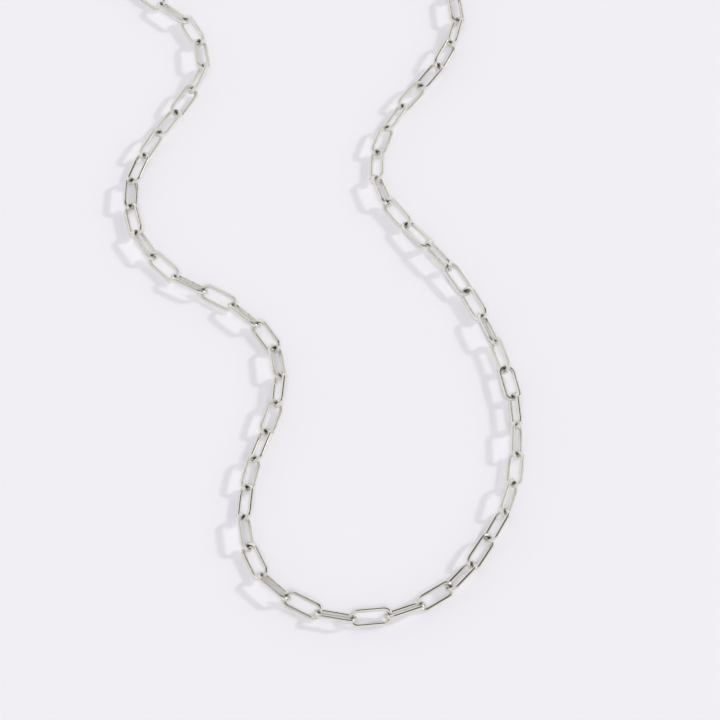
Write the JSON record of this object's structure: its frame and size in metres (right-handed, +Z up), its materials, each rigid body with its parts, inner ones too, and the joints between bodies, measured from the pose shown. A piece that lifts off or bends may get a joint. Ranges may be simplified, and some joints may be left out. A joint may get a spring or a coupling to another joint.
{
  "type": "paperclip chain necklace",
  "caption": "Silver-coloured paperclip chain necklace: long oval wire links hooked through each other in a whole loop, closed by a plain clasp and lying on a flat surface.",
  "frame": {"origin": "middle of the necklace's box, on the surface that it lies on", "axes": "+Z up from the surface, +Y from the front of the loop towards the clasp, +X to the right in the picture"},
  "size_m": [0.088, 0.1806, 0.0034],
  "materials": {
    "link_silver": "polished",
    "clasp_silver": "polished"
  },
  "bodies": {
    "root": {"chain_left": "link_silver", "chain_right": "link_silver", "clasp": "clasp_silver"}
  },
  "joints": []
}
